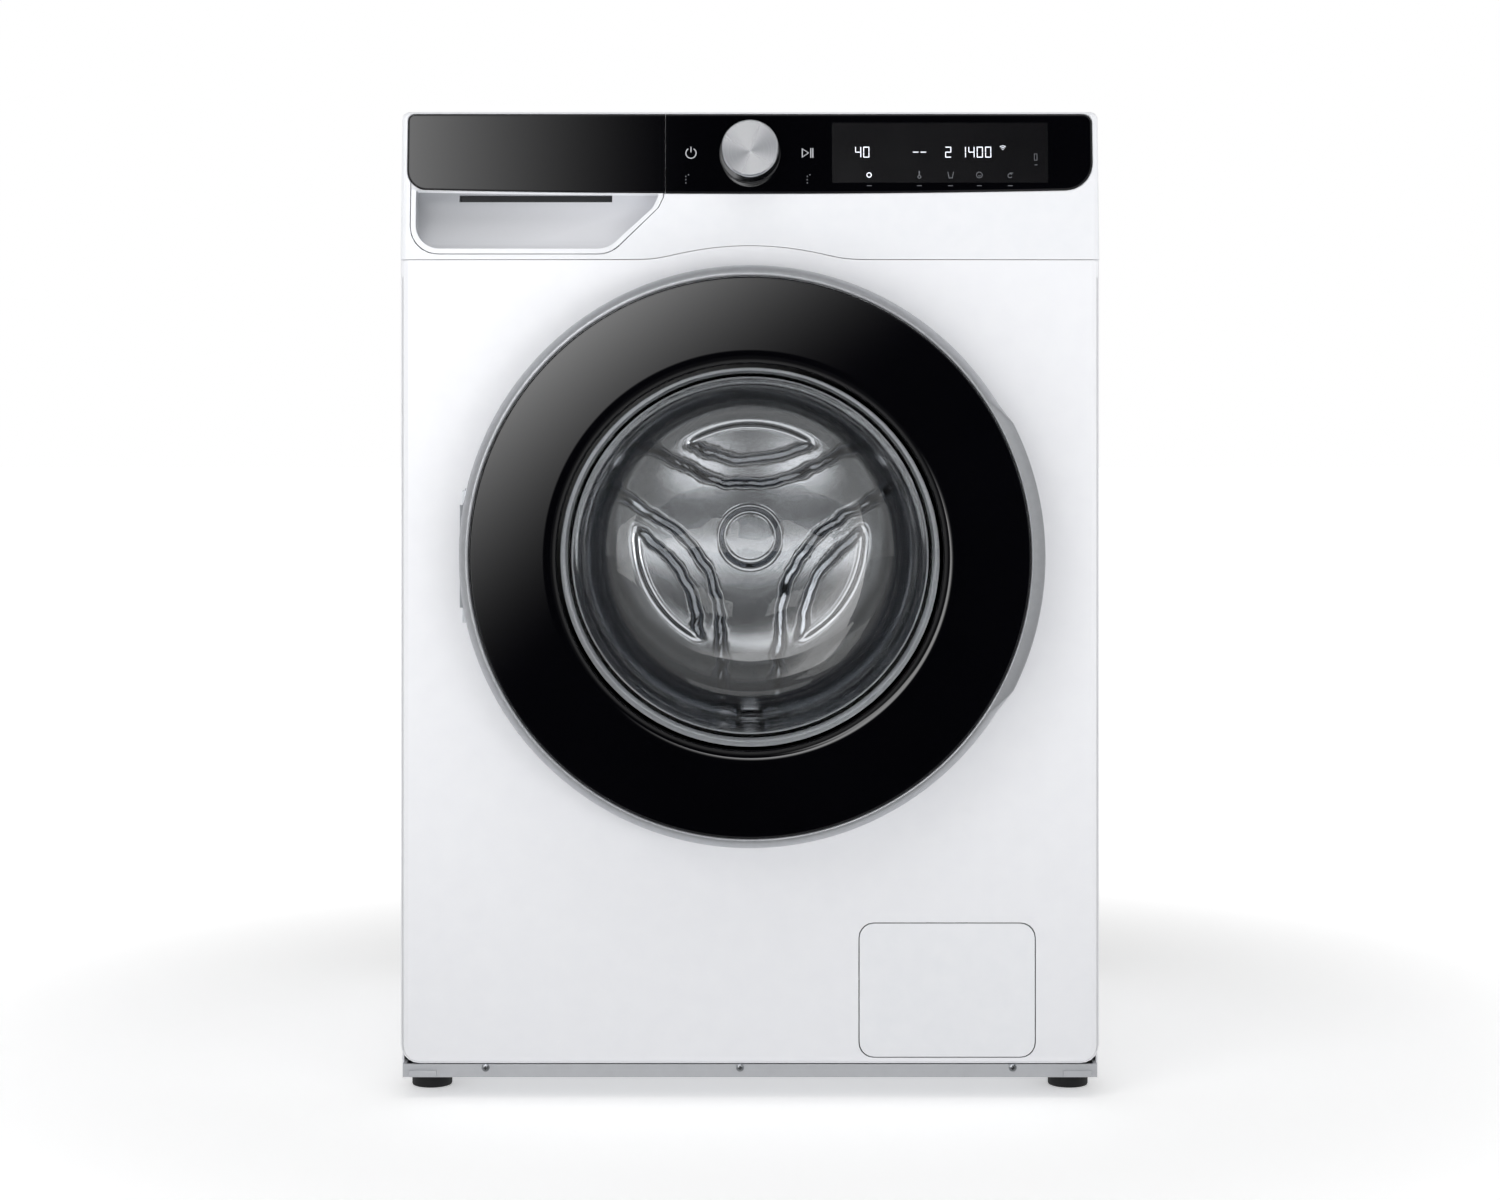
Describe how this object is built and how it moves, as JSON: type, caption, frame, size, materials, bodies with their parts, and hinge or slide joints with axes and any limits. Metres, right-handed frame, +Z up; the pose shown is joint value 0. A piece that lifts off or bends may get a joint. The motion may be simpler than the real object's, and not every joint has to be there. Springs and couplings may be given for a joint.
{
  "type": "front load washing machine",
  "caption": "Free-standing front loading washing machine with a round glass door, detergent drawer, rotary dial, black control glass and a sprung tub with a belt-driven drum.",
  "frame": {"origin": "on the floor, at the middle of the footprint with the door closed", "axes": "+Z up, -Y out of the front (the door side), +X to the right when facing the machine"},
  "size_m": [0.6, 0.595, 0.85],
  "materials": {
    "zinc_steel": "galvanised sheet",
    "white_enamel": "smooth satin white enamel",
    "white_abs": "smooth white moulding",
    "worktop_laminate": "white laminate on particle board",
    "silver_plastic": "satin silver-grey paint",
    "grey_painted_steel": "satin grey",
    "black_glass": "gloss black",
    "clear_glass": "polished clear",
    "grey_abs": "satin grey",
    "brushed_aluminium": "radially brushed",
    "black_plastic": "matte black",
    "board_housing": "matte",
    "white_polypropylene": "moulded",
    "blue_polypropylene": "moulded",
    "grey_rubber": "matte grey",
    "black_rubber": "matte black",
    "grey_polypropylene": "moulded",
    "cast_iron": "painted casting",
    "stainless_steel": "bright polished",
    "cast_aluminium": "as cast"
  },
  "bodies": {
    "cabinet": {"side_panel_left": "white_enamel", "side_panel_right": "white_enamel", "front_panel": "white_enamel", "base_tray": "grey_painted_steel", "rear_panel": "zinc_steel", "rear_cover": "zinc_steel", "worktop": "worktop_laminate", "fascia": "white_abs", "control_glass": "black_glass", "control_board": "board_housing", "dispenser_box": "white_polypropylene", "water_valve": "white_polypropylene", "damper_tube_left": "black_plastic", "damper_tube_right": "black_plastic", "drain_pump": "grey_polypropylene", "drain_hose": "grey_rubber", "cord_inlet": "black_plastic", "hinge_bracket": "zinc_steel", "hinge_pin": "zinc_steel", "door_lock": "black_plastic"},
    "tub": {"tub_front": "grey_polypropylene", "tub_rear": "grey_polypropylene", "drum_bearing": "zinc_steel", "counterweight_front": "cast_iron", "counterweight_top": "cast_iron", "gasket": "grey_rubber", "motor": "cast_aluminium", "drive_belt": "black_rubber", "heater": "stainless_steel", "spring_left": "zinc_steel", "spring_right": "zinc_steel", "damper_rod_left": "zinc_steel", "damper_rod_right": "zinc_steel", "sump_hose": "grey_rubber", "dispenser_hose": "grey_rubber"},
    "drum": {"drum_shell": "stainless_steel", "drum_back": "stainless_steel", "drum_lifter_1": "stainless_steel", "drum_lifter_2": "stainless_steel", "drum_lifter_3": "stainless_steel", "drum_spider": "cast_aluminium", "drum_pulley": "cast_aluminium"},
    "motor_rotor": {"motor_rotor": "zinc_steel"},
    "door": {"door_ring": "silver_plastic", "door_trim": "black_glass", "door_inner_frame": "grey_abs", "door_bowl": "clear_glass", "door_hinge_arm": "zinc_steel"},
    "latch_hook": {"latch_hook": "zinc_steel"},
    "drawer": {"drawer_front": "white_abs", "drawer_glass": "black_glass", "drawer_tray": "white_polypropylene", "softener_cap": "blue_polypropylene"},
    "dial": {"knob": "brushed_aluminium"},
    "filter_cover": {"filter_cover": "white_abs"},
    "filter_plug": {"filter_plug": "black_plastic"},
    "foot_front_left": {"foot_front_left": "black_rubber"},
    "foot_front_right": {"foot_front_right": "black_rubber"},
    "foot_rear_left": {"foot_rear_left": "black_rubber"},
    "foot_rear_right": {"foot_rear_right": "black_rubber"}
  },
  "joints": [
    {"name": "tub_bounce", "type": "slide", "parent": "cabinet", "child": "tub", "axis": [0, 0, 1], "range_m": [-0.012, 0.012], "stiffness_N_per_m": 16000, "springref_m": 0.0378, "deforming": ["gasket", "spring_left", "spring_right", "sump_hose", "dispenser_hose"]},
    {"name": "drum_spin", "type": "hinge", "parent": "tub", "child": "drum", "pos_m": [0, 0.0075, 0.467], "axis": [0, 1, 0], "continuous": true},
    {"name": "motor_spin", "type": "hinge", "parent": "tub", "child": "motor_rotor", "pos_m": [0, 0.1975, 0.112], "axis": [0, 1, 0], "continuous": true},
    {"name": "door_swing", "type": "hinge", "parent": "cabinet", "child": "door", "pos_m": [-0.2405, -0.2755, 0.467], "axis": [0, 0, -1], "range_deg": [0, 150]},
    {"name": "latch_hook_tip", "type": "hinge", "parent": "door", "child": "latch_hook", "pos_m": [0.2065, -0.2645, 0.467], "axis": [0, 0, 1], "range_deg": [0, 7], "stiffness_Nm_per_rad": 0.5},
    {"name": "drawer_slide", "type": "slide", "parent": "cabinet", "child": "drawer", "axis": [0, -1, 0], "range_m": [0, 0.2]},
    {"name": "dial_turn", "type": "hinge", "parent": "cabinet", "child": "dial", "pos_m": [0, -0.2412, 0.812], "axis": [0, -0.9925, 0.1219], "continuous": true},
    {"name": "filter_cover_tilt", "type": "hinge", "parent": "cabinet", "child": "filter_cover", "pos_m": [0.169, -0.2525, 0.0369], "axis": [1, 0, 0], "range_deg": [0, 90]},
    {"name": "filter_plug_turn", "type": "hinge", "parent": "cabinet", "child": "filter_plug", "pos_m": [0.169, -0.2325, 0.094], "axis": [0, -1, 0], "range_deg": [0, 180]},
    {"name": "foot_front_left_screw", "type": "slide", "parent": "cabinet", "child": "foot_front_left", "axis": [0, 0, -1], "range_m": [0, 0.015]},
    {"name": "foot_front_right_screw", "type": "slide", "parent": "cabinet", "child": "foot_front_right", "axis": [0, 0, -1], "range_m": [0, 0.015]},
    {"name": "foot_rear_left_screw", "type": "slide", "parent": "cabinet", "child": "foot_rear_left", "axis": [0, 0, -1], "range_m": [0, 0.015]},
    {"name": "foot_rear_right_screw", "type": "slide", "parent": "cabinet", "child": "foot_rear_right", "axis": [0, 0, -1], "range_m": [0, 0.015]}
  ],
  "couplings": [
    {"joint": "motor_spin", "follows": "drum_spin", "ratio": 11.886}
  ]
}
